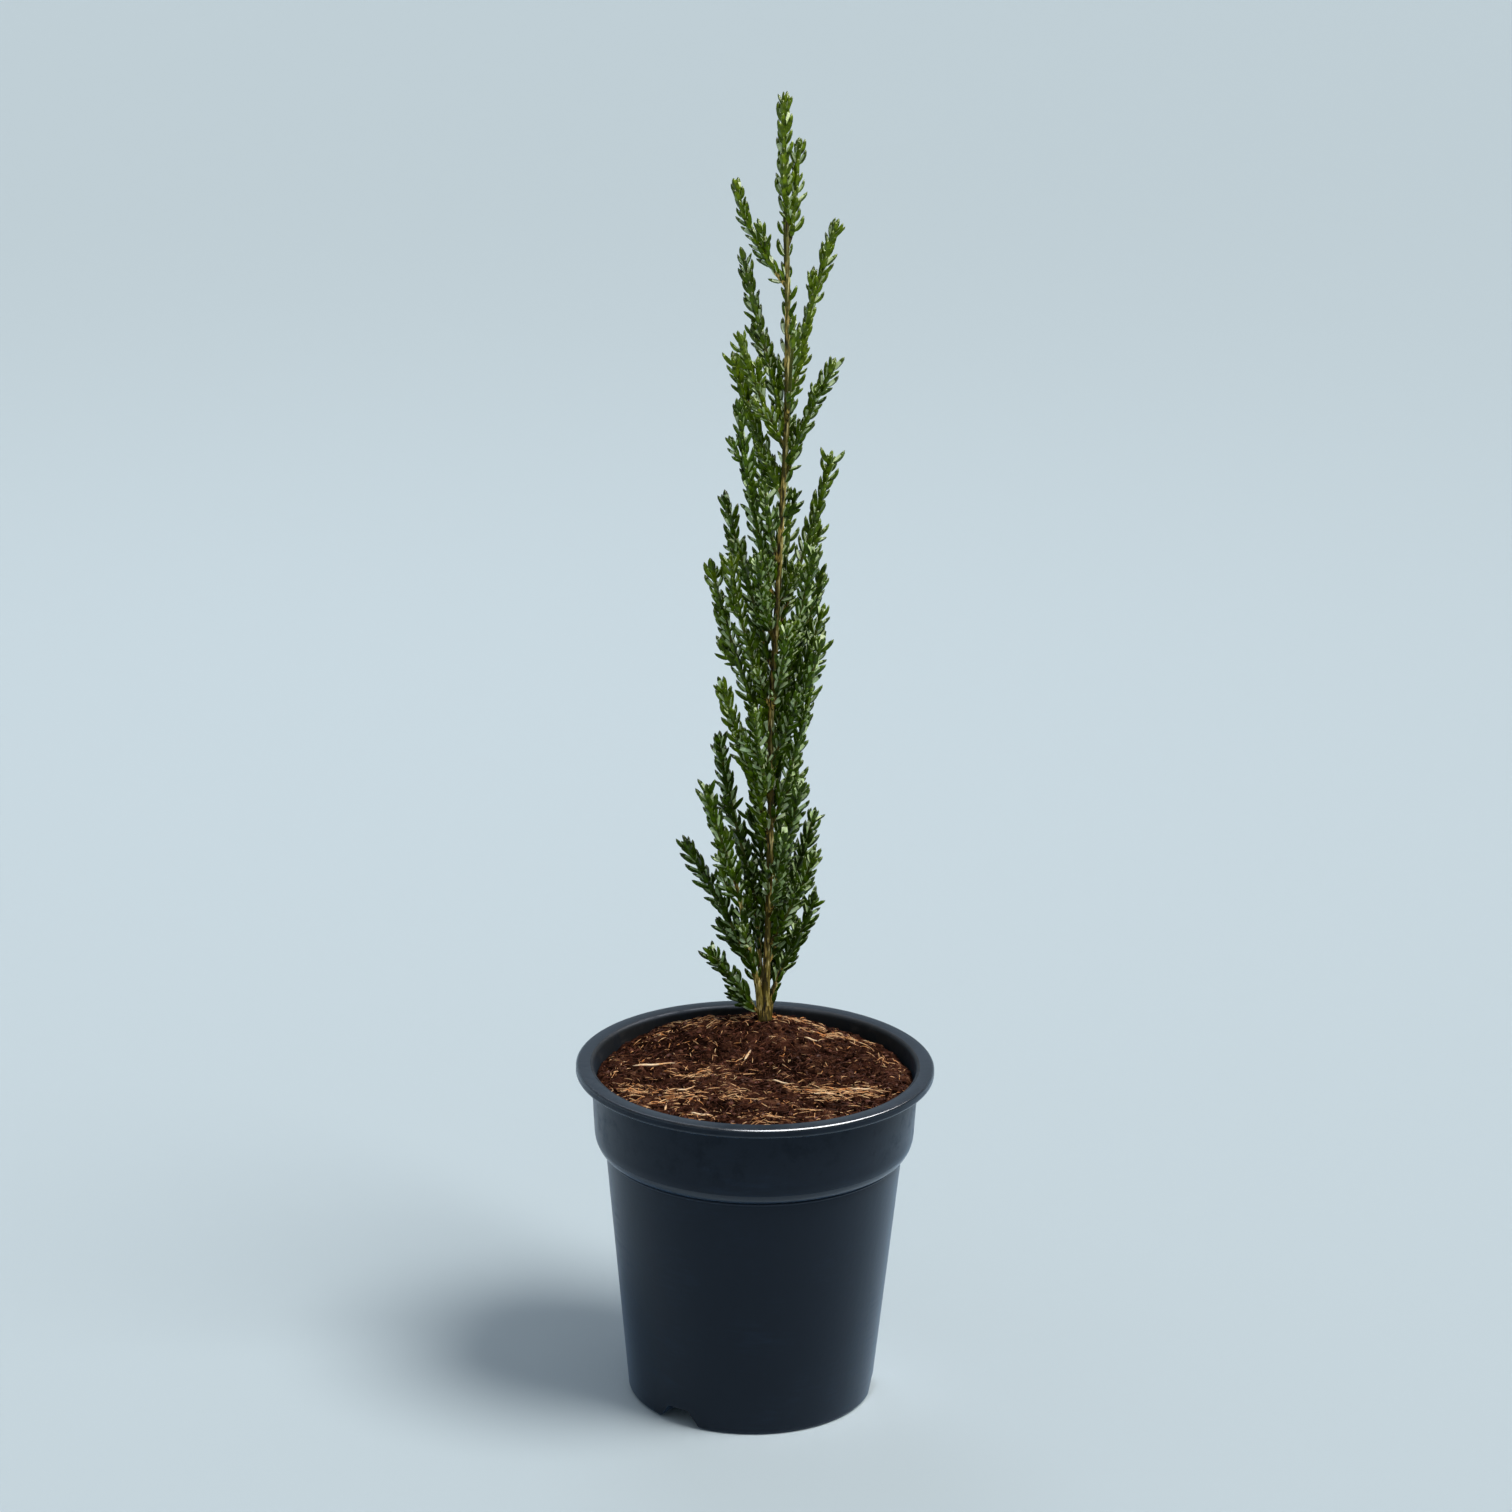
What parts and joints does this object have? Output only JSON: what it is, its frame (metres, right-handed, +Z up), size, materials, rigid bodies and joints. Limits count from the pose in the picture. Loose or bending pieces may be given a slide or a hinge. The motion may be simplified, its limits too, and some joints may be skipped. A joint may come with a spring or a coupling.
{
  "type": "potted cypress tree",
  "caption": "Young Italian cypress with slim upright sprays of short needle leaves on thin stems, in a round dark plastic nursery pot filled with fibrous compost.",
  "frame": {"origin": "middle of the pot's flat underside, on the ground plane", "axes": "+Z up, along the trunk; +X to the plant's right as the picture shows it; +Y to its back, away from the viewer"},
  "size_m": [0.14, 0.14, 0.508],
  "materials": {
    "pot_plastic": "dark blue-black moulded nursery plastic with a soft sheen",
    "compost": "moist dark red-brown peat with tan coir fibres",
    "bark": "thin brown young bark with golden streaks",
    "foliage": "dark green short needle leaves with grey-green faces"
  },
  "bodies": {
    "root": {"bough_centre": "bark", "bough_left": "bark", "bough_right": "bark", "leader_tip": "foliage", "pot": "pot_plastic", "potting_soil": "compost", "spray_back_01": "foliage", "spray_back_02": "foliage", "spray_back_03": "foliage", "spray_back_04": "foliage", "spray_back_05": "foliage", "spray_back_06": "foliage", "spray_back_07": "foliage", "spray_front_01": "foliage", "spray_front_02": "foliage", "spray_front_03": "foliage", "spray_front_04": "foliage", "spray_front_05": "foliage", "spray_front_06": "foliage", "spray_left_01": "foliage", "spray_left_02": "foliage", "spray_left_03": "foliage", "spray_left_04": "foliage", "spray_left_05": "foliage", "spray_left_06": "foliage", "spray_left_07": "foliage", "spray_left_08": "foliage", "spray_left_09": "foliage", "spray_left_10": "foliage", "spray_left_11": "foliage", "spray_left_12": "foliage", "spray_left_13": "foliage", "spray_right_01": "foliage", "spray_right_02": "foliage", "spray_right_03": "foliage", "spray_right_04": "foliage", "spray_right_05": "foliage", "spray_right_06": "foliage", "spray_right_07": "foliage", "spray_right_08": "foliage", "spray_right_09": "foliage", "spray_right_10": "foliage", "spray_right_11": "foliage", "spray_right_12": "foliage", "spray_right_13": "foliage", "spray_right_14": "foliage", "trunk": "bark"}
  },
  "joints": []
}
